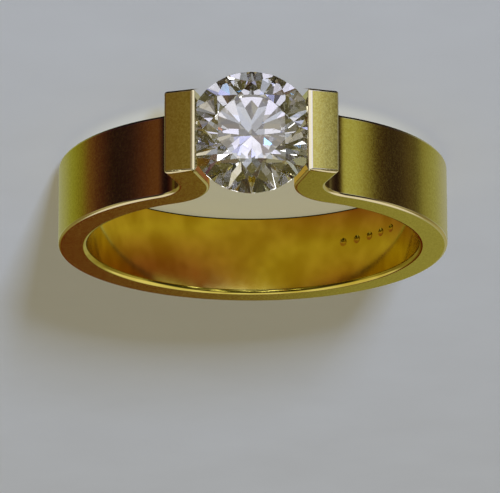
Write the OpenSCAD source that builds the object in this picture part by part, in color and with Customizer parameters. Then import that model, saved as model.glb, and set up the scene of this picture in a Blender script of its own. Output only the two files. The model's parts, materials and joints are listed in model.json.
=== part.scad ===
// Tension set ring: a flat strip of metal bent round the finger, whose two turned-up ends grip a
// round brilliant stone. It lies on its side, as it comes to rest on a table, with its head
// towards -Y. The origin is the centre of the finger bore.

/* [Shank] */
// Inside diameter of the ring
bore_d = 17.5; // [14:0.1:23]
// Thickness of the strip
band_t = 1.55; // [1.2:0.05:2.2]
// Width of the strip, along the finger
band_w = 4.35; // [3.4:0.05:5.8]
// Break of the two edges of the bore, measured across the side faces
bore_edge = 0.22; // [0.05:0.01:0.4]

/* [Grips] */
// Height of the top faces of the grips above the outside of the shank
head_h = 3.6; // [3:0.05:4.4]
// Thickness of each grip across its top face
grip_t = 1.55; // [1.2:0.05:2]
// Lean of the inner side of each grip away from the stone's axis
grip_lean = 15.4; // [10:0.1:18]
// Radius of the hollow bend outside, between shank and grip
bend_r = 2; // [1:0.1:2.5]
// Radius of the round nose inside, between bore and grip
nose_r = 3; // [2:0.1:3.5]
// Width of the bevel along the inner top edge of each grip
bevel_w = 0.22; // [0.05:0.01:0.4]
// Depth of that bevel
bevel_d = 0.06; // [0.02:0.01:0.1]

/* [Stone] */
// Diameter of the girdle
stone_d = 6.4; // [5.6:0.05:7.2]
// Thickness of the girdle
girdle_t = 0.17; // [0.12:0.01:0.25]
// Table across its corners, as a share of the diameter
table_share = 0.57; // [0.5:0.01:0.65]
// Slope of the main facets of the crown
crown_angle = 33; // [28:0.5:36]
// Reach of the star facets, as a share of the way from table to girdle
star_share = 0.5; // [0.4:0.01:0.6]
// Slope of the main facets of the pavilion
pavilion_angle = 40.9; // [39:0.1:42]
// Reach of the lower halves, as a share of the way from girdle to culet
lower_share = 0.77; // [0.65:0.01:0.85]
// Width of the tiny flat at the culet
culet_d = 0.06; // [0.03:0.01:0.3]

/* [Seat] */
// Depth of the middle of the girdle below the height of the grips
stone_drop = 0.84; // [0.78:0.01:1.1]
// How far the girdle reaches into each grip
bite = 0.48; // [0.3:0.01:0.6]
// Clearance between the stone and its two grooves
seat_gap = 0.03; // [0.02:0.005:0.06]

/* [Hidden] */
$fn = 96;

gold = "#b8a045";
diamond = "#e4eaee";

// cutting shapes run on this far past what they cut
past = 1;
// angle by which shank and grip run on into each other
lap = 5;
// arcs run this far into the lines and arcs that they join, so that they cross and don't only touch
merge = 0.003;

// A point at a distance from the bore's centre, at an angle from the middle of the head
function polar(r, angle) = [r * sin(angle), r * cos(angle)];

bore_r = bore_d / 2;
outer_r = bore_r + band_t;
head_r = outer_r + head_h;
half_w = band_w / 2;
stone_r = stone_d / 2;

// Stone: its facets repeat eight times round, and two flats of its table face the grips
folds = 8;
turn = 360 / folds;
half_turn = turn / 2;
// straight steps along each half facet's stretch of the girdle
arc_steps = 4;
table_r = stone_r * table_share;
table_flat = table_r * cos(half_turn);
crown_h = (stone_r - table_r) * tan(crown_angle);
star_r = table_flat + (stone_r - table_flat) * star_share;
star_h = (stone_r - star_r * cos(half_turn)) * tan(crown_angle);
upper_angle = atan(star_h / ((stone_r - star_r) * cos(half_turn / 2)));
culet_r = culet_d / 2 / cos(half_turn);
culet_h = (stone_r - culet_d / 2) * tan(pavilion_angle);
lower_r = stone_r * (1 - lower_share);
lower_h = (stone_r - lower_r * cos(half_turn)) * tan(pavilion_angle);
lower_angle = atan(lower_h / ((stone_r - lower_r) * cos(half_turn / 2)));

// Outline of the right grip, seen along the finger with the head up
girdle_y = head_r - stone_drop;
seat_point = [stone_r - bite, girdle_y];
lean_side = [cos(grip_lean), -sin(grip_lean)];
lean_up = [sin(grip_lean), cos(grip_lean)];
line_gap = seat_point * lean_side;
top_in = seat_point + (sqrt(pow(head_r, 2) - pow(line_gap, 2)) - seat_point * lean_up) * lean_up;
top_out_angle = asin((top_in[0] + grip_t) / head_r);
bend_out = outer_r + bend_r - merge;
bend_angle = top_out_angle + asin((bend_r - merge) / bend_out);
bend_c = polar(bend_out, bend_angle);
bend_high = polar(bend_out * cos(bend_angle - top_out_angle), top_out_angle);
nose_out = bore_r + nose_r - merge;
nose_angle = grip_lean + asin((nose_r - merge + line_gap) / nose_out);
nose_c = polar(nose_out, nose_angle);
nose_low = polar(bore_r, nose_angle);
nose_high = nose_c - (nose_r - merge) * lean_side;

// Seat: a cone just outside the steepest line of the crown, and one outside that of the pavilion
crown_line = atan(star_h / (stone_r - star_r));
pavilion_line = atan(lower_h / (stone_r - lower_r));
seat_depth = 2 * bite + seat_gap;

// The ring rests on the stone's girdle and on the far edge of the shank
rest_tilt = atan((stone_r - half_w) / (girdle_y - girdle_t / 2 + outer_r));

// What lies to the left of the way from a to b, as far as reach
module left_of(a, b, reach) {
    way = reach * (b - a) / norm(b - a);
    side = [-way[1], way[0]];
    polygon([a - way, b + way, b + way + side, a - way + side]);
}

// The bevel along the inner top edge of a grip
module bevel_cut() {
    start = atan2(top_in[0], top_in[1]);
    far = polar(head_r, start + 2 * asin(bevel_w / (2 * head_r)));
    left_of(top_in - bevel_d * lean_up, far, past);
}

// The round nose, as far as half the strip's thickness into the metal
module nose() {
    inward = band_t / 2 * (nose_c - nose_low) / norm(nose_c - nose_low);
    intersection() {
        translate(nose_c) circle(r = nose_r);
        left_of(nose_low + inward, nose_high + band_t / 2 * lean_side, 2 * nose_r);
    }
}

module grip_outline() {
    difference() {
        union() {
            intersection() {
                polygon([
                    nose_low,
                    nose_high,
                    top_in + past * lean_up,
                    polar(head_r + past, top_out_angle),
                    bend_high,
                    bend_c,
                    polar(outer_r, bend_angle),
                    polar(bore_r + band_t / 2, bend_angle + lap)
                ]);
                circle(r = head_r);
            }
            nose();
        }
        translate(bend_c) circle(r = bend_r);
        bevel_cut();
    }
}

// The strip round the finger, open at the head
module shank_outline() {
    right = polar(2 * head_r, bend_angle - lap);
    left = [-right[0], right[1]];
    difference() {
        circle(r = outer_r);
        circle(r = bore_r);
        polygon([[0, 0], nose_low, right, [0, 3 * head_r], left, [-nose_low[0], nose_low[1]]]);
    }
}

module strip_wide() {
    translate([0, 0, -half_w]) linear_extrude(height = band_w) children();
}

// Both edges of the bore are broken all round
module bore_edge_cut() {
    for (side = [0, 1])
        mirror([0, 0, side])
        translate([0, 0, half_w - bore_edge - past])
        cylinder(r1 = bore_r - past, r2 = bore_r + bore_edge + past, h = bore_edge + 2 * past);
}

// Clearance that keeps the corner of the groove seat_gap away from a line of this slope
function corner_gap(slope) = seat_gap * (1 - sin(slope)) / cos(slope);

// The groove that both grips have for the stone, about the stone's own axis
module seat_cut() {
    top = girdle_t / 2 + corner_gap(crown_line);
    low = girdle_t / 2 + corner_gap(pavilion_line);
    outside = stone_r + seat_gap;
    inside = outside - seat_depth;
    rotate_extrude() polygon([
        [outside, -low],
        [outside, top],
        [inside, top + seat_depth * tan(crown_line)],
        [inside, -low - seat_depth * tan(pavilion_line)]
    ]);
}

// Height of the girdle's edge above its middle at step j of its arcs: half facets scallop it
function edge_height(j, slope) =
    let(off = (j % arc_steps - arc_steps / 2) * half_turn / arc_steps)
    girdle_t / 2 - stone_r * (cos(off) - cos(half_turn / 2)) * tan(slope);

// A point of the stone at this radius, turned from the middle of a flat of the table
function spot(r, angle, height) = [r * cos(angle), r * sin(angle), height];

// Round brilliant: its axis is Z, with the table up and the origin in the middle of the girdle
module brilliant() {
    steps = 2 * folds * arc_steps;
    // places in the list of points, in the order in which it is put together
    star_at = folds;
    upper_at = 2 * folds;
    lower_at = upper_at + steps;
    tip_at = lower_at + steps;
    culet_at = tip_at + folds;
    points = concat(
        [for (i = [0 : folds - 1]) spot(table_r, (i + 0.5) * turn, girdle_t / 2 + crown_h)],
        [for (i = [0 : folds - 1]) spot(star_r, i * turn, girdle_t / 2 + star_h)],
        [for (j = [0 : steps - 1]) spot(stone_r, j * half_turn / arc_steps, edge_height(j, upper_angle))],
        [for (j = [0 : steps - 1]) spot(stone_r, j * half_turn / arc_steps, -edge_height(j, lower_angle))],
        [for (i = [0 : folds - 1]) spot(lower_r, i * turn, -girdle_t / 2 - lower_h)],
        [for (i = [0 : folds - 1]) spot(culet_r, i * turn, -girdle_t / 2 - culet_h)]
    );
    table = [[for (i = [folds - 1 : -1 : 0]) i]];
    stars = [for (i = [0 : folds - 1]) [i, star_at + i, (i + folds - 1) % folds]];
    kites = [for (i = [0 : folds - 1])
        [star_at + (i + 1) % folds, upper_at + (2 * i + 1) * arc_steps, star_at + i, i]];
    upper_halves = [for (k = [0 : 2 * folds - 1])
        concat([for (j = [arc_steps : -1 : 0]) upper_at + (k * arc_steps + j) % steps],
            [star_at + floor((k + 1) / 2) % folds])];
    girdle = [for (j = [0 : steps - 1])
        [upper_at + j, upper_at + (j + 1) % steps, lower_at + (j + 1) % steps, lower_at + j]];
    lower_halves = [for (k = [0 : 2 * folds - 1])
        concat([for (j = [0 : arc_steps]) lower_at + (k * arc_steps + j) % steps],
            [tip_at + floor((k + 1) / 2) % folds])];
    mains = [for (i = [0 : folds - 1])
        [tip_at + i, lower_at + (2 * i + 1) * arc_steps, tip_at + (i + 1) % folds,
            culet_at + (i + 1) % folds, culet_at + i]];
    culet = [[for (i = [0 : folds - 1]) culet_at + i]];
    polyhedron(points, concat(table, stars, kites, upper_halves, girdle, lower_halves, mains, culet));
}

// From the stone's own frame to the ring's
module in_seat() {
    translate([0, girdle_y, 0]) rotate([-90, 0, 0]) children();
}

// From the ring's frame, with the head along +Y, to the way it lies
module laid_down() {
    rotate([-rest_tilt, 0, 0]) rotate([0, 0, 180]) children();
}

module band() {
    color(gold)
    laid_down()
    difference() {
        union() {
            strip_wide() shank_outline();
            for (side = [0, 1]) mirror([side, 0, 0]) strip_wide() grip_outline();
        }
        bore_edge_cut();
        in_seat() seat_cut();
    }
}

module stone() {
    color(diamond)
    laid_down()
    in_seat()
    brilliant();
}

band();
stone();
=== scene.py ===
"""Tension set ring: a flat satin strip of yellow gold whose two turned-up ends grip a round brilliant.

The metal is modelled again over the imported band, with rounded and polished edges. The stone is the
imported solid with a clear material. The strip is modelled in the ring's own frame, in millimetres:
X across the ring, Y from the finger bore to the stone, Z along the finger.
"""
import json
import math

import bmesh
import bpy
from mathutils import Matrix, Vector


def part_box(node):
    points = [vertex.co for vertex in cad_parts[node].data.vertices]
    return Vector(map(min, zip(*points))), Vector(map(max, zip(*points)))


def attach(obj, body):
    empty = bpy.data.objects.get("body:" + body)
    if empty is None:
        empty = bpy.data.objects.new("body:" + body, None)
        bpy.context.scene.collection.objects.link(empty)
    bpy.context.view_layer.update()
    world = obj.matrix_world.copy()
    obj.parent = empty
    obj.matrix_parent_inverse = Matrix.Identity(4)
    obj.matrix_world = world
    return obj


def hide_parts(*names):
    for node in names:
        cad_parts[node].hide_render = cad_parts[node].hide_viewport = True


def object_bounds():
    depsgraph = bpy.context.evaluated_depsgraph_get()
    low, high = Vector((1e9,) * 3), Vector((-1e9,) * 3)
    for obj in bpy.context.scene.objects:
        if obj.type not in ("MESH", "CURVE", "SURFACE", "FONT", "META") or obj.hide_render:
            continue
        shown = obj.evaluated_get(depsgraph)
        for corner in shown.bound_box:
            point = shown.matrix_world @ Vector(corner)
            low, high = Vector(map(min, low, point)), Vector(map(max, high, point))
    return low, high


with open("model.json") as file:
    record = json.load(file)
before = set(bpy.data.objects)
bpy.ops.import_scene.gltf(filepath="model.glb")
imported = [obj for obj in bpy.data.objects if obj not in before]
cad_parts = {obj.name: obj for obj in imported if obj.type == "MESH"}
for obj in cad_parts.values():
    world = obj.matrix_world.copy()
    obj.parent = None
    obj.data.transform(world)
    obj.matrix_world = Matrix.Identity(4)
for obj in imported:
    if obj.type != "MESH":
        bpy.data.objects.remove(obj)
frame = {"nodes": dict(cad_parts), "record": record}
cad_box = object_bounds()

MM = 0.001
QUARTER = math.pi / 2

# Shank, in millimetres
finger_bore = frame["record"]["mounts"][0]
BORE_R = finger_bore["dims"]["r_mm"]
STRIP_T = 1.55
STRIP_W = 4.35
OUTER_R = BORE_R + STRIP_T
HALF_W = STRIP_W / 2

# Grips
HEAD_R = OUTER_R + 3.6
GRIP_T = 1.55
GRIP_LEAN = math.radians(15.4)
BEND_R = 2.0
NOSE_R = 3.0
TOP_BEVEL_W = 0.22
TOP_BEVEL_D = 0.06

# Stone and its seat
stone_low, stone_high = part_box("stone")
STONE_R = (stone_high.x - stone_low.x) / 2 / MM
GIRDLE_T = 0.17
GIRDLE_Y = HEAD_R - 0.84
BITE = 0.48
SEAT_GAP = 0.03
SEAT_DEPTH = 2 * BITE + SEAT_GAP
CROWN_SLOPE = math.radians(31.5)
PAVILION_SLOPE = math.radians(41.5)

# Edges: the widest rounding is that of the bore, and the others are shares of it
EDGE_R = 0.25
OUTSIDE_EDGE = 0.66
GRIP_EDGE = 0.36
STRIP_EDGE = 0.12

# Punch dents in the bore: their turns from the middle of the head, in degrees
DENT_TURNS = (122, 128, 134, 140, 146)
DENT_R = 0.4
DENT_DEPTH = 0.08
DENT_Z = -0.3

# Steps along the outline and round the edges, the seat and the dents
SHANK_STEPS = 64
BEND_STEPS = 14
TOP_STEPS = 4
EDGE_STEPS = 3
SEAT_STEPS = 128
DENT_STEPS = 16

# Points nearer than MERGE millimetres are one, and a point within NEAR of a surface is on it. A face
# whose normal goes more than FACING along a direction faces it. Corners flatter than SMOOTH_BELOW
# are shaded smooth.
MERGE = 0.001
NEAR = 0.01
FACING = 0.9
SMOOTH_BELOW = math.radians(32)

# Directions in the row frame
FINGER_UP = Vector(finger_bore["axis"])
ACROSS = Vector((-1, 0, 0))
HEAD = FINGER_UP.cross(ACROSS)
REST_TILT = math.atan2(FINGER_UP.y, FINGER_UP.z)
FLOOR_Z = cad_box[0].z

# The strip's material slots: satin is the first, at 0, and these two follow
POLISHED = 1
EDGE = 2


# Modelling

def deselect():
    if bpy.context.object and bpy.context.object.mode != "OBJECT":
        bpy.ops.object.mode_set(mode="OBJECT")
    bpy.ops.object.select_all(action="DESELECT")


def select_only(piece):
    deselect()
    piece.select_set(True)
    bpy.context.view_layer.objects.active = piece


def pick(piece, kind, test):
    """Selects the vertices, edges or faces of the piece in edit mode that pass the test."""
    bpy.ops.mesh.select_mode(type=kind)
    bpy.ops.mesh.select_all(action="DESELECT")
    mesh = bmesh.from_edit_mesh(piece.data)
    parts = {"VERT": mesh.verts, "EDGE": mesh.edges, "FACE": mesh.faces}[kind]
    for part in parts:
        if test(part):
            part.select_set(True)
    bmesh.update_edit_mesh(piece.data)


def start_line(point):
    """Adds a lone vertex at the point, in edit mode, and selects only it."""
    bpy.ops.mesh.select_mode(type="VERT")
    bpy.ops.mesh.primitive_plane_add(size=1)
    bpy.ops.mesh.merge(type="CENTER")
    bpy.ops.transform.translate(value=point)


def line_to(start, end):
    bpy.ops.mesh.extrude_vertices_move(TRANSFORM_OT_translate={"value": end - start})


def arc(centre, angle, steps):
    """Spins the selection about the centre, anticlockwise for an angle above zero."""
    bpy.ops.mesh.spin(steps=steps, angle=-angle, center=centre, axis=(0, 0, 1))


def extrude_up(rise):
    bpy.ops.mesh.extrude_region_move(TRANSFORM_OT_translate={"value": (0, 0, rise)})


def apply_modifier(piece, kind, **settings):
    select_only(piece)
    modifier = piece.modifiers.new(kind.title(), kind)
    for name, value in settings.items():
        setattr(modifier, name, value)
    bpy.ops.object.modifier_apply(modifier=modifier.name)


def cut(piece, cutter):
    apply_modifier(piece, "BOOLEAN", operation="DIFFERENCE", solver="EXACT", object=cutter)
    bpy.data.objects.remove(cutter)


# The outline of the strip

def polar(radius, angle):
    """A point of the outline at this angle from the middle of the head."""
    return Vector((radius * math.sin(angle), radius * math.cos(angle), 0))


LEAN_SIDE = Vector((math.cos(GRIP_LEAN), -math.sin(GRIP_LEAN), 0))
LEAN_UP = Vector((math.sin(GRIP_LEAN), math.cos(GRIP_LEAN), 0))
SEAT_POINT = Vector((STONE_R - BITE, GIRDLE_Y, 0))
LINE_GAP = SEAT_POINT.dot(LEAN_SIDE)
TOP_IN = SEAT_POINT + (math.sqrt(HEAD_R ** 2 - LINE_GAP ** 2) - SEAT_POINT.dot(LEAN_UP)) * LEAN_UP
TOP_OUT_ANGLE = math.asin((TOP_IN.x + GRIP_T) / HEAD_R)
TOP_OUT = polar(HEAD_R, TOP_OUT_ANGLE)
BEND_SPAN = math.asin(BEND_R / (OUTER_R + BEND_R))
BEND_ANGLE = TOP_OUT_ANGLE + BEND_SPAN
BEND_C = polar(OUTER_R + BEND_R, BEND_ANGLE)
BEND_TOP = polar((OUTER_R + BEND_R) * math.cos(BEND_SPAN), TOP_OUT_ANGLE)
BEND_MIDDLE = BEND_C - BEND_R * polar(1, (BEND_ANGLE + TOP_OUT_ANGLE + QUARTER) / 2)
NOSE_SPAN = math.asin((NOSE_R + LINE_GAP) / (BORE_R + NOSE_R))
NOSE_ANGLE = GRIP_LEAN + NOSE_SPAN
NOSE_C = polar(BORE_R + NOSE_R, NOSE_ANGLE)
NOSE_TOP = NOSE_C - NOSE_R * LEAN_SIDE
BEVEL_FAR_ANGLE = math.atan2(TOP_IN.x, TOP_IN.y) + TOP_BEVEL_W / HEAD_R
BEVEL_FAR = polar(HEAD_R, BEVEL_FAR_ANGLE)
BEVEL_LOW = TOP_IN - TOP_BEVEL_D * LEAN_UP


def half_outline():
    """The right half of the strip's side face, from the far side of the shank to the grip's top."""
    start_line(Vector((0, -OUTER_R, 0)))
    arc((0, 0, 0), math.pi - BEND_ANGLE, SHANK_STEPS)
    arc(BEND_C, -(QUARTER - BEND_SPAN), BEND_STEPS)
    line_to(BEND_TOP, TOP_OUT)
    start_line(Vector((0, -BORE_R, 0)))
    arc((0, 0, 0), math.pi - NOSE_ANGLE, SHANK_STEPS)
    arc(NOSE_C, -(QUARTER - NOSE_SPAN), BEND_STEPS)
    line_to(NOSE_TOP, BEVEL_LOW)
    bpy.ops.mesh.select_mode(type="EDGE")
    bpy.ops.mesh.select_all(action="SELECT")
    bpy.ops.mesh.bridge_edge_loops()


def round_top(piece):
    """Closes the half outline above the grip's corners by the top's own arc and the inner bevel."""
    start_line(TOP_OUT)
    arc((0, 0, 0), TOP_OUT_ANGLE - BEVEL_FAR_ANGLE, TOP_STEPS)
    line_to(BEVEL_FAR, BEVEL_LOW)
    bpy.ops.mesh.select_all(action="SELECT")
    bpy.ops.mesh.remove_doubles(threshold=MERGE)
    pick(piece, "VERT",
         lambda v: v.co.length > HEAD_R - MERGE or (v.co - BEVEL_LOW).length < MERGE)
    bpy.ops.mesh.edge_face_add()


def widen(piece):
    """Mirrors the half outline and extrudes it to the width of the strip."""
    apply_modifier(piece, "MIRROR", merge_threshold=MERGE)
    bpy.ops.object.mode_set(mode="EDIT")
    bpy.ops.mesh.select_all(action="SELECT")
    bpy.ops.transform.translate(value=(0, 0, -HALF_W))
    extrude_up(STRIP_W)
    bpy.ops.mesh.select_all(action="SELECT")
    bpy.ops.mesh.remove_doubles(threshold=MERGE)
    bpy.ops.mesh.normals_make_consistent(inside=False)


# Where the parts of the strip are, for picking its faces and edges

def is_side(face):
    return abs(face.normal.z) > FACING


def in_bore(part):
    return all(v.co.xy.length < BORE_R + NEAR for v in part.verts)


def on_bore_edge(face):
    """On the rounding between the bore and a side face."""
    return all(v.co.xy.length < BORE_R + EDGE_R + NEAR and abs(v.co.z) > HALF_W - EDGE_R - NEAR
               for v in face.verts)


def follows(part, distance):
    """Whether the part lies along a line of the outline, told by a point's distance to that line.

    The left half of the strip is taken for the right one, where the outline's points are.
    """
    points = [Vector((abs(v.co.x), v.co.y, 0)) for v in part.verts]
    return all(distance(point) < NEAR for point in points)


def on_nose(part):
    """On the curve from the bore to the grip's inner side."""
    return follows(part, lambda point: abs((point - NOSE_C).length - NOSE_R))


def on_top_bevel(part):
    return follows(part, lambda point: min((point - BEVEL_FAR).length, (point - BEVEL_LOW).length))


def on_inner_side(part):
    """On the grip's flat inner side, which faces the stone."""
    return follows(part, lambda point: abs(point.dot(LEAN_SIDE) - LINE_GAP))


def along_finger(edge, corner):
    """Along the finger's direction at this corner of the outline."""
    return follows(edge, lambda point: (point - corner).length)


def on_rim(edge):
    """Between one of the two side faces and a wall."""
    sides = sum(is_side(face) for face in edge.link_faces)
    return len(edge.link_faces) == 2 and sides == 1


def on_crisp_rim(edge):
    """On the rim of a grip's bevel or inner side, which stay almost sharp."""
    return on_rim(edge) and (on_top_bevel(edge) or on_inner_side(edge))


# Edges, finishes, seat and dents

def weigh(piece, share, test):
    """Gives the edges that pass the test a share of the widest rounding."""
    pick(piece, "EDGE", test)
    bpy.ops.transform.edge_bevelweight(value=share)


def give_finish(piece, finish, test):
    """Gives the faces that pass the test one of the strip's finishes."""
    pick(piece, "FACE", test)
    piece.active_material_index = finish
    bpy.ops.object.material_slot_assign()


def share_out(piece):
    """Gives the bore its polish, and the walls that face the stone the edges' pale gold, a painted
    highlight.
    """
    give_finish(piece, POLISHED, lambda f: not is_side(f) and in_bore(f))
    give_finish(piece, EDGE, lambda f: not is_side(f)
                and (on_nose(f) or on_inner_side(f) or on_top_bevel(f)))


def round_edges(piece):
    weigh(piece, 1, lambda e: on_rim(e) and in_bore(e))
    weigh(piece, STRIP_EDGE, on_crisp_rim)
    weigh(piece, OUTSIDE_EDGE, lambda e: on_rim(e) and not in_bore(e) and not on_crisp_rim(e))
    weigh(piece, GRIP_EDGE, lambda e: along_finger(e, TOP_OUT))
    weigh(piece, STRIP_EDGE, lambda e: along_finger(e, BEVEL_LOW))
    pick(piece, "EDGE", lambda e: along_finger(e, BEVEL_FAR) or along_finger(e, BEVEL_LOW))
    bpy.ops.mesh.mark_sharp()
    # The rounded faces take the edge slot, whose pale gold is a painted highlight
    apply_modifier(piece, "BEVEL", width=EDGE_R, segments=EDGE_STEPS, limit_method="WEIGHT",
                   use_clamp_overlap=False, material=EDGE)
    bpy.ops.object.mode_set(mode="EDIT")
    give_finish(piece, POLISHED, on_bore_edge)


def seat_cutter():
    """A drum with a cone on each end, which cuts the groove of the seat into both grips."""
    outside = STONE_R + SEAT_GAP
    inside = (outside - SEAT_DEPTH) / outside
    top = GIRDLE_T / 2 + SEAT_GAP * (1 - math.sin(CROWN_SLOPE)) / math.cos(CROWN_SLOPE)
    low = GIRDLE_T / 2 + SEAT_GAP * (1 - math.sin(PAVILION_SLOPE)) / math.cos(PAVILION_SLOPE)
    deselect()
    bpy.ops.mesh.primitive_cylinder_add(vertices=SEAT_STEPS, radius=outside, depth=top + low)
    cutter = bpy.context.object
    bpy.ops.object.mode_set(mode="EDIT")
    bpy.ops.mesh.select_all(action="SELECT")
    bpy.ops.transform.translate(value=(0, 0, (top - low) / 2))
    for end, slope in ((1, CROWN_SLOPE), (-1, PAVILION_SLOPE)):
        pick(cutter, "FACE", lambda f: f.normal.z * end > FACING)
        extrude_up(end * SEAT_DEPTH * math.tan(slope))
        bpy.ops.transform.resize(value=(inside, inside, 1), center_override=(0, 0, 0))
    bpy.ops.object.mode_set(mode="OBJECT")
    cutter.matrix_world = Matrix.Translation((0, GIRDLE_Y, 0)) @ Matrix.Rotation(-QUARTER, 4, "X")
    return cutter


def dent_cutter(turn):
    """A ball that reaches a little into the wall of the bore and leaves a polished dent."""
    deselect()
    centre = polar(BORE_R + DENT_DEPTH - DENT_R, math.radians(turn)) + Vector((0, 0, DENT_Z))
    bpy.ops.mesh.primitive_uv_sphere_add(segments=2 * DENT_STEPS, ring_count=DENT_STEPS,
                                         radius=DENT_R, location=centre)
    cutter = bpy.context.object
    for face in cutter.data.polygons:
        face.material_index = POLISHED
    return cutter


# The whole strip

WALL = "bore_wall"


def group_wall(piece):
    """Groups the vertices of the bore's wall, which keeps the smoothness it had without the dents."""
    select_only(piece)
    piece.vertex_groups.new(name=WALL)
    bpy.ops.object.mode_set(mode="EDIT")
    pick(piece, "VERT", lambda v: v.co.xy.length < BORE_R + NEAR and v.co.y < 0)
    bpy.ops.object.vertex_group_assign()


def smooth_shade(piece):
    """Shades the piece smooth, with flat side faces, so that only the rounded edges turn the light.

    It comes while the piece is in millimetres, because in metres the modifier takes all the faces
    for equally large.
    """
    select_only(piece)
    bpy.ops.object.shade_smooth_by_angle(angle=SMOOTH_BELOW)
    apply_modifier(piece, "WEIGHTED_NORMAL", keep_sharp=True, weight=100)


def lay_down(piece):
    """Turns a finished piece from the ring's own frame to the row frame, in metres."""
    select_only(piece)
    turned = Matrix.Rotation(-REST_TILT, 4, "X") @ Matrix.Rotation(math.pi, 4, "Z")
    piece.matrix_world = turned @ Matrix.Scale(MM, 4)
    bpy.ops.object.transform_apply(location=True, rotation=True, scale=True)


def strip(finishes):
    """The whole strip of metal, from grip to grip round the finger."""
    deselect()
    bpy.ops.mesh.primitive_plane_add(size=1)
    piece = bpy.context.object
    piece.name = "gold_strip"
    for finish in finishes:
        piece.data.materials.append(finish)
    bpy.ops.object.mode_set(mode="EDIT")
    bpy.ops.mesh.delete(type="VERT")
    half_outline()
    round_top(piece)
    widen(piece)
    share_out(piece)
    round_edges(piece)
    cut(piece, seat_cutter())
    select_only(piece)
    bpy.ops.object.duplicate()
    undented = bpy.context.object
    for turn in DENT_TURNS:
        cut(piece, dent_cutter(turn))
    group_wall(piece)
    smooth_shade(undented)
    smooth_shade(piece)
    apply_modifier(piece, "DATA_TRANSFER", object=undented, vertex_group=WALL, use_loop_data=True,
                   data_types_loops={"CUSTOM_NORMAL"}, loop_mapping="POLYINTERP_NEAREST")
    bpy.data.objects.remove(undented)
    lay_down(piece)
    return piece


# Shader nodes

class Wire:
    """A node's output. Python's operators on it add Math nodes."""

    def __init__(self, tree, socket=None):
        self.tree = tree
        self.socket = socket

    def node(self, kind, settings=None, inputs=None, output=0):
        """Adds a node: its settings first, then the values or wires of its sockets."""
        node = self.tree.nodes.new(kind)
        for name, value in (settings or {}).items():
            if name == "stops":
                ramp = node.color_ramp
                while len(ramp.elements) < len(value):
                    ramp.elements.new(1)
                for element, (place, colour) in zip(ramp.elements, value):
                    element.position = place
                    element.color = (*colour, 1)
            elif name == "blend_between_stops":
                node.color_ramp.interpolation = value
            else:
                setattr(node, name, value)
        for name, value in (inputs or {}).items():
            if isinstance(value, Wire):
                self.tree.links.new(value.socket, node.inputs[name])
            else:
                node.inputs[name].default_value = value
        return Wire(self.tree, node.outputs[output] if node.outputs else None)

    def maths(self, operation, *values):
        return self.node("ShaderNodeMath", {"operation": operation}, dict(enumerate(values)))

    def __add__(self, other):
        return self.maths("ADD", self, other)

    def __radd__(self, other):
        return self.maths("ADD", other, self)

    def __sub__(self, other):
        return self.maths("SUBTRACT", self, other)

    def __rsub__(self, other):
        return self.maths("SUBTRACT", other, self)

    def __mul__(self, other):
        return self.maths("MULTIPLY", self, other)

    def __rmul__(self, other):
        return self.maths("MULTIPLY", other, self)

    def size(self):
        """The number without its sign."""
        return self.maths("ABSOLUTE", self)

    def between(self, low, high):
        """0 up to low, 1 from high on, and smooth between."""
        return self.node("ShaderNodeMapRange", {"interpolation_type": "SMOOTHSTEP"},
                         {"Value": self, "From Min": low, "From Max": high})

    def mix(self, first, second):
        """The first colour where this wire is 0 and the second where it is 1."""
        pair = [c if isinstance(c, Wire) else (*c, 1) for c in (first, second)]
        return self.node("ShaderNodeMix", {"data_type": "RGBA"},
                         {0: self, 6: pair[0], 7: pair[1]}, output=2)

    def dot(self, direction):
        return self.node("ShaderNodeVectorMath", {"operation": "DOT_PRODUCT"},
                         {0: self, 1: direction}, output="Value")


def start_material(name):
    """A material with no nodes yet, and a wire to build them from."""
    material = bpy.data.materials.new(name)
    material.use_nodes = True
    material.node_tree.nodes.clear()
    return material, Wire(material.node_tree)


def finish_material(material, wires, sockets):
    """Ends the material in a Principled shader with these values and wires."""
    shader = wires.node("ShaderNodeBsdfPrincipled", inputs=sockets)
    wires.node("ShaderNodeOutputMaterial", inputs={"Surface": shader})
    return material


def millimetres(wires):
    """The place on a piece, in millimetres."""
    place = wires.node("ShaderNodeTexCoord", output="Object")
    return wires.node("ShaderNodeVectorMath", {"operation": "SCALE"}, {0: place, "Scale": 1 / MM})


def noise(place, scale, detail=2.0, roughness=0.5):
    """Noise from 0 to 1 with this many grains to the millimetre."""
    return place.node("ShaderNodeTexNoise", inputs={
        "Vector": place, "Scale": scale, "Detail": detail, "Roughness": roughness})


def relief(height, strength, depth):
    """The normal of a surface with this relief, its depth in millimetres."""
    return height.node("ShaderNodeBump", inputs={
        "Height": height, "Strength": strength, "Distance": depth * MM})


# Materials: the grains and clouds of their noise are in grains to the millimetre

GOLD = (0.84, 0.74, 0.17)
GOLD_DEEP = (0.60, 0.48, 0.06)
# Painted highlight: a pale gold for the edges, the bevels and the walls that face the stone
PAINTED_EDGE_HIGHLIGHT = (0.86, 0.77, 0.44)
PAINTED_EDGE_HIGHLIGHT_PALE = (0.90, 0.82, 0.52)
SATIN_GRAIN = 8.0
SATIN_CLOUD = 0.7
POLISH_GRAIN = 3.0
POLISH_CLOUD = 0.5
EDGE_GRAIN = 4.0

# Painted shade: a dark brown laid into the satin's colour in the hollow of each bend, and how far it
# reaches, in millimetres
PAINTED_BEND_SHADE = (0.34, 0.24, 0.08)
PAINTED_BEND_SHADE_R = 1.35

STONE_COOL = (0.985, 0.99, 1.0)
STONE_WARM = (1.0, 0.995, 0.98)
STONE_CLOUD = 0.6
STONE_IOR = 2.417

FLOOR_GREY = (0.42, 0.425, 0.43)
FLOOR_GREY_PALE = (0.50, 0.505, 0.50)
FLOOR_CLOUD = 0.15
FLOOR_GLOW = (0.20, 0.18, 0.115)
FLOOR_GLOW_INSIDE = (0.31, 0.29, 0.19)

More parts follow.
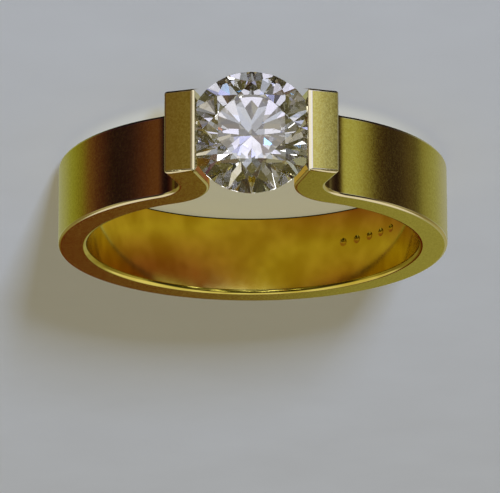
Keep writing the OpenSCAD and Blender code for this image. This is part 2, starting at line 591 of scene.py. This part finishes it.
# The card's colours from the left of the ring, at 0, to the right, at 1
CARD_R = BORE_R - 0.1
CARD_COLOURS = (
    (0.0, (0.30, 0.14, 0.03)),
    (0.2, (0.38, 0.26, 0.05)),
    (0.42, (0.40, 0.30, 0.05)),
    (0.6, (0.34, 0.20, 0.05)),
    (0.8, (0.24, 0.09, 0.04)),
    (1.0, (0.20, 0.06, 0.03)),
)


def painted_shade_in_bends(place):
    """1 in the hollow of each bend beside the grips, where shade is painted, 0 elsewhere."""
    across = place.dot(ACROSS).size() - BEND_MIDDLE.x
    up = place.dot(HEAD) - BEND_MIDDLE.y
    away = place.maths("SQRT", across * across + up * up)
    along = place.dot(FINGER_UP).size()
    on_wall = 1 - along.between(HALF_W - OUTSIDE_EDGE * EDGE_R, HALF_W)
    return (1 - away.between(PAINTED_BEND_SHADE_R / 2, PAINTED_BEND_SHADE_R)) * on_wall


def satin_gold():
    """The outside of the strip: fine brushed grain, slow clouds, and painted shade in the bends."""
    material, wires = start_material("satin_gold")
    place = millimetres(wires)
    grain = noise(place, SATIN_GRAIN, detail=3.0, roughness=0.65)
    cloud = noise(place, SATIN_CLOUD)
    spots = grain.between(0.35, 0.65)
    colour = (0.2 + 0.55 * spots + 0.25 * cloud).mix(GOLD_DEEP, GOLD)
    return finish_material(material, wires, {
        # The hollows of the bends are darkened here with painted shade
        "Base Color": painted_shade_in_bends(place).mix(colour, PAINTED_BEND_SHADE),
        "Metallic": 1.0,
        "Roughness": 0.15 + 0.05 * spots + 0.04 * cloud,
        "Normal": relief(grain, strength=0.4, depth=0.006),
    })


def polished_gold():
    """The bore and the dents."""
    material, wires = start_material("polished_gold")
    place = millimetres(wires)
    grain = noise(place, POLISH_GRAIN, detail=4.0)
    cloud = noise(place, POLISH_CLOUD)
    return finish_material(material, wires, {
        "Base Color": cloud.between(0.3, 0.7).mix(GOLD_DEEP, GOLD),
        "Metallic": 1.0,
        "Roughness": 0.07 + 0.08 * grain,
        "Normal": relief(grain, strength=0.2, depth=0.004),
    })


def bright_edge():
    """The edges, the bevels and the walls that face the stone, in a pale gold that is a painted
    highlight.
    """
    material, wires = start_material("bright_edge")
    grain = noise(millimetres(wires), EDGE_GRAIN, detail=3.0)
    return finish_material(material, wires, {
        "Base Color": grain.mix(PAINTED_EDGE_HIGHLIGHT, PAINTED_EDGE_HIGHLIGHT_PALE),
        "Metallic": 1.0,
        "Roughness": 0.08 + 0.08 * grain,
        "Normal": relief(grain, strength=0.1, depth=0.003),
    })


def clear_stone():
    """The stone, sharp and clear, with hardly any tint."""
    material, wires = start_material("clear_stone")
    cloud = noise(millimetres(wires), STONE_CLOUD)
    return finish_material(material, wires, {
        "Base Color": cloud.mix(STONE_COOL, STONE_WARM),
        "Roughness": 0.0,
        "IOR": STONE_IOR,
        "Transmission Weight": 1.0,
    })


def pale_floor():
    """The floor, with a faint glow that is warmer and stronger inside the ring."""
    material, wires = start_material("pale_floor")
    place = millimetres(wires)
    cloud = noise(place, FLOOR_CLOUD, detail=3.0)
    away = wires.node("ShaderNodeVectorMath", {"operation": "LENGTH"}, {0: place}, output="Value")
    return finish_material(material, wires, {
        "Base Color": cloud.mix(FLOOR_GREY, FLOOR_GREY_PALE),
        "Roughness": 0.9,
        "Emission Color": away.between(BORE_R, OUTER_R).mix(FLOOR_GLOW_INSIDE, FLOOR_GLOW),
        "Emission Strength": 1.0,
    })


def warm_card():
    """The glowing card inside the ring, yellower to the left of the photograph, redder to the right."""
    material, wires = start_material("warm_card")
    place = millimetres(wires).dot(ACROSS) * (0.5 / CARD_R) + 0.5
    colour = wires.node("ShaderNodeValToRGB", {"stops": CARD_COLOURS}, {"Fac": place})
    return finish_material(material, wires, {
        "Base Color": (0, 0, 0, 1),
        "Specular IOR Level": 0.0,
        "Emission Color": colour,
        "Emission Strength": 1.0,
    })


# The floor, in metres, and the card, in millimetres

FLOOR_SIZE = 3
CARD_LIFT = 0.05
CARD_STEPS = 64


def add_floor(material):
    """The floor, which neither the metal nor the stone shows, and which casts no shadow on them."""
    deselect()
    bpy.ops.mesh.primitive_plane_add(size=FLOOR_SIZE, location=(0, 0, FLOOR_Z))
    floor = bpy.context.object
    floor.name = "floor"
    floor.data.materials.append(material)
    floor.visible_glossy = False
    floor.visible_transmission = False
    floor.visible_shadow = False


def add_bore_card(material):
    """A card on the floor inside the ring, which shows only in the metal, above all in the bore."""
    deselect()
    bpy.ops.mesh.primitive_circle_add(vertices=CARD_STEPS, radius=CARD_R * MM, fill_type="NGON",
                                      location=(0, 0, FLOOR_Z + CARD_LIFT * MM))
    card = bpy.context.object
    card.name = "card_in_bore"
    card.data.materials.append(material)
    card.visible_camera = False
    card.visible_diffuse = False
    card.visible_transmission = False
    card.visible_shadow = False


# Light

# What the ring reflects: the angle about the finger's direction, where 0 is straight above the stone
# and 90 is to the right of the photograph, and the colour there. The low row is what the outside of
# the strip and the tops of the grips reflect, and the high row is what the side faces reflect. It has
# a step at 180, because the left side face is darker and redder than the right one.
LOW_ROW = (
    (-180, (0.40, 0.41, 0.31)),
    (-148, (0.35, 0.37, 0.22)),
    (-134, (0.28, 0.30, 0.065)),
    (-121, (0.205, 0.185, 0.035)),
    (-113, (0.15, 0.06, 0.045)),
    (-102, (0.065, 0.018, 0.03)),
    (-90, (0.012, 0.005, 0.02)),
    (-77, (0.022, 0.009, 0.03)),
    (-66, (0.075, 0.025, 0.04)),
    (-59, (0.15, 0.055, 0.05)),
    (-46, (0.04, 0.02, 0.03)),
    (-39, (0.18, 0.12, 0.08)),
    (-18, (0.20, 0.16, 0.12)),
    (-12, (0.45, 0.43, 0.40)),
    (-7, (0.88, 0.87, 0.92)),
    (7, (1.0, 0.98, 1.2)),
    (13, (0.96, 1.0, 1.2)),
    (24, (0.96, 1.0, 1.7)),
    (30, (0.60, 0.62, 0.95)),
    (37, (0.09, 0.08, 0.07)),
    (48, (0.40, 0.40, 0.34)),
    (62, (0.48, 0.50, 0.42)),
    (71, (0.27, 0.245, 0.155)),
    (78, (0.05, 0.027, 0.03)),
    (92, (0.028, 0.017, 0.03)),
    (99, (0.045, 0.028, 0.04)),
    (107, (0.09, 0.065, 0.06)),
    (114, (0.09, 0.075, 0.06)),
    (121, (0.27, 0.26, 0.155)),
    (136, (0.335, 0.35, 0.21)),
    (150, (0.38, 0.385, 0.33)),
    (180, (0.40, 0.41, 0.31)),
)
HIGH_ROW = (
    (-180, (0.12, 0.05, 0.01)),
    (-176, (0.09, 0.0, 0.0)),
    (-164, (0.15, 0.09, 0.01)),
    (-152, (0.26, 0.22, 0.07)),
    (-120, (0.20, 0.16, 0.05)),
    (-90, (0.40, 0.36, 0.20)),
    (-72, (0.03, 0.02, 0.02)),
    (-52, (0.04, 0.03, 0.02)),
    (-40, (0.13, 0.11, 0.03)),
    (-28, (0.07, 0.06, 0.02)),
    (-4, (0.07, 0.06, 0.03)),
    (5, (0.23, 0.215, 0.135)),
    (14, (0.19, 0.175, 0.10)),
    (24, (0.07, 0.06, 0.02)),
    (40, (0.13, 0.11, 0.03)),
    (56, (0.03, 0.03, 0.02)),
    (72, (0.03, 0.02, 0.02)),
    (90, (0.40, 0.36, 0.24)),
    (120, (0.20, 0.16, 0.06)),
    (150, (0.36, 0.32, 0.15)),
    (173, (0.36, 0.35, 0.20)),
    (180, (0.27, 0.27, 0.07)),
)
TOP_ROW = (
    (-180, (0.75, 0.70, 0.68)),
    (-90, (0.80, 0.74, 0.68)),
    (-62, (0.07, 0.06, 0.02)),
    (62, (0.07, 0.06, 0.02)),
    (90, (0.80, 0.74, 0.68)),
    (180, (0.75, 0.70, 0.68)),
)
BELOW = (0.01, 0.008, 0.006)

# Where the rows meet, as the sine of the height above the strip's plane
BELOW_TO_LOW = (-0.7, -0.45)
LOW_TO_HIGH = (-0.16, -0.04)
HIGH_TO_TOP = (0.5, 0.62)

# The background of the picture, and what lights the floor from all round
CAMERA_SEES = (0.45, 0.45, 0.44)
FLOOR_SEES = (0.04, 0.04, 0.04)

# Soft round patches for the stone's whites and greys: turn, height above the strip's plane and
# size, in degrees, and colour. A later one covers an earlier one.
PATCHES = (
    (-20, -3, 10, (0.38, 0.39, 0.41)),
    (-2, 8, 10, (0.55, 0.57, 0.60)),
    (9, 5, 6, (0.52, 0.55, 0.62)),
    (-15, -4, 7, (0.50, 0.52, 0.58)),
    (21, -5, 9, (0.12, 0.12, 0.11)),
    (27, 8, 7, (0.28, 0.27, 0.23)),
    (40, 38, 9, (0.26, 0.23, 0.15)),
    (-18, 32, 8, (0.60, 0.56, 0.46)),
    (-16, 22, 6, (0.85, 0.78, 0.58)),
)

# Small bright lamps for its sparkle, in the same way, and one blue and one orange for its flashes
WHITE = (3.0, 3.0, 3.0)
BLUE = (0.8, 2.0, 4.0)
ORANGE = (2.2, 0.7, 0.1)
LAMPS = (
    (-14, 33, 4, WHITE),
    (7, 26, 2.7, WHITE),
    (3, 41, 2.5, WHITE),
    (27, 28, 4, WHITE),
    (42, 4, 5, WHITE),
    (30, 51, 5, WHITE),
    (-32, 27, 4, WHITE),
    (-8, 48, 4, WHITE),
    (-5, -8, 2.2, BLUE),
    (-23, 28, 2, ORANGE),
)

# The share of a patch or lamp that has its full colour
CORE = 0.6


def row_of_light(place, row):
    """The colour of a row at this place along it, from 0 to 1."""
    stops = [(turn / 360 + 0.5, colour) for turn, colour in row]
    return place.node("ShaderNodeValToRGB",
                      {"stops": stops, "blend_between_stops": "EASE"}, {"Fac": place})


def studio_light():
    """The world: the rows, and over them the patches and lamps."""
    world = bpy.data.worlds.new("studio")
    bpy.context.scene.world = world
    world.use_nodes = True
    world.node_tree.nodes.clear()
    wires = Wire(world.node_tree)
    way = wires.node("ShaderNodeTexCoord", output="Generated")
    angle = way.maths("ARCTAN2", way.dot(ACROSS), way.dot(HEAD))
    place = angle * (1 / math.tau) + 0.5
    up = way.dot(FINGER_UP)
    colour = up.between(*LOW_TO_HIGH).mix(row_of_light(place, LOW_ROW),
                                          row_of_light(place, HIGH_ROW))
    colour = up.between(*HIGH_TO_TOP).mix(colour, row_of_light(place, TOP_ROW))
    colour = up.between(*BELOW_TO_LOW).mix(BELOW, colour)
    for *degrees, shine in PATCHES + LAMPS:
        turn, height, size = map(math.radians, degrees)
        lamp = HEAD * math.cos(turn) + ACROSS * math.sin(turn)
        lamp = lamp * math.cos(height) + FINGER_UP * math.sin(height)
        near_lamp = way.dot(lamp).between(math.cos(size), math.cos(size * CORE))
        colour = near_lamp.mix(colour, shine)
    colour = wires.node("ShaderNodeLightPath", output="Is Diffuse Ray").mix(colour, FLOOR_SEES)
    colour = wires.node("ShaderNodeLightPath", output="Is Camera Ray").mix(colour, CAMERA_SEES)
    background = wires.node("ShaderNodeBackground", inputs={"Color": colour, "Strength": 1.0})
    wires.node("ShaderNodeOutputWorld", inputs={"Surface": background})


# The floor's light, in metres and watts
LOW_LIGHT_PLACE = HEAD + ACROSS * 0.15 + FINGER_UP * 0.12
LOW_LIGHT_SIZE = 0.1
LOW_LIGHT_WATTS = 38
LOW_LIGHT_COLOUR = (0.54, 0.67, 1.0)


def floor_light():
    """A soft low light for the floor, aimed at the ring, that the metal and the stone don't show."""
    bpy.ops.object.light_add(type="AREA", location=LOW_LIGHT_PLACE)
    light = bpy.context.object
    light.name = "low_light"
    light.rotation_euler = (-LOW_LIGHT_PLACE).to_track_quat("-Z", "Y").to_euler()
    light.data.size = LOW_LIGHT_SIZE
    light.data.energy = LOW_LIGHT_WATTS
    light.data.color = LOW_LIGHT_COLOUR
    light.visible_glossy = False
    light.visible_transmission = False


# Camera: its place and turn are fitted to the ring's circles and edges in the photograph

CAMERA_DISTANCE = 253.79 * MM
CAMERA_ABOVE = math.radians(72.904)
CAMERA_ASIDE = math.radians(0.768)
CAMERA_ROLL = math.radians(-0.968)
CAMERA_CLIP = 0.01
PHOTO_WIDTH = 500
PHOTO_HEIGHT = 493
FOCAL_PIXELS = 4785
RING_CENTRE = (252.77, 208.54)
SENSOR = 36


def add_camera():
    """The camera at the photograph's angle to the ring, aimed so that the ring is where it is there."""
    out = FINGER_UP * math.cos(CAMERA_ASIDE) + ACROSS * math.sin(CAMERA_ASIDE)
    back = HEAD * math.sin(CAMERA_ABOVE) + out * math.cos(CAMERA_ABOVE)
    level = ACROSS * math.cos(CAMERA_ASIDE) - FINGER_UP * math.sin(CAMERA_ASIDE)
    upright = back.cross(level)
    right = level * math.cos(CAMERA_ROLL) + upright * math.sin(CAMERA_ROLL)
    up = upright * math.cos(CAMERA_ROLL) - level * math.sin(CAMERA_ROLL)
    aside = (PHOTO_WIDTH / 2 - RING_CENTRE[0]) / FOCAL_PIXELS
    below = (PHOTO_HEIGHT / 2 - RING_CENTRE[1]) / FOCAL_PIXELS
    forward = (-back + right * aside - up * below).normalized()
    right = forward.cross(up).normalized()
    up = right.cross(forward)
    bpy.ops.object.camera_add(location=back * CAMERA_DISTANCE)
    camera = bpy.context.object
    turn = Matrix((right, up, -forward)).transposed()
    camera.rotation_euler = turn.to_euler()
    camera.data.sensor_width = SENSOR
    camera.data.lens = FOCAL_PIXELS / PHOTO_WIDTH * SENSOR
    camera.data.clip_start = CAMERA_CLIP
    bpy.context.scene.camera = camera


# The scene

add_camera()
add_floor(pale_floor())
studio_light()
add_bore_card(warm_card())
floor_light()

metal = strip((satin_gold(), polished_gold(), bright_edge()))
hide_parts("band")
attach(metal, "root")

stone = frame["nodes"]["stone"]
for material_slot in stone.material_slots:
    material_slot.material = clear_stone()

BOUNCES = 24
scene = bpy.context.scene
scene.view_settings.view_transform = "Standard"
scene.cycles.max_bounces = BOUNCES
scene.cycles.glossy_bounces = BOUNCES
scene.cycles.transmission_bounces = BOUNCES
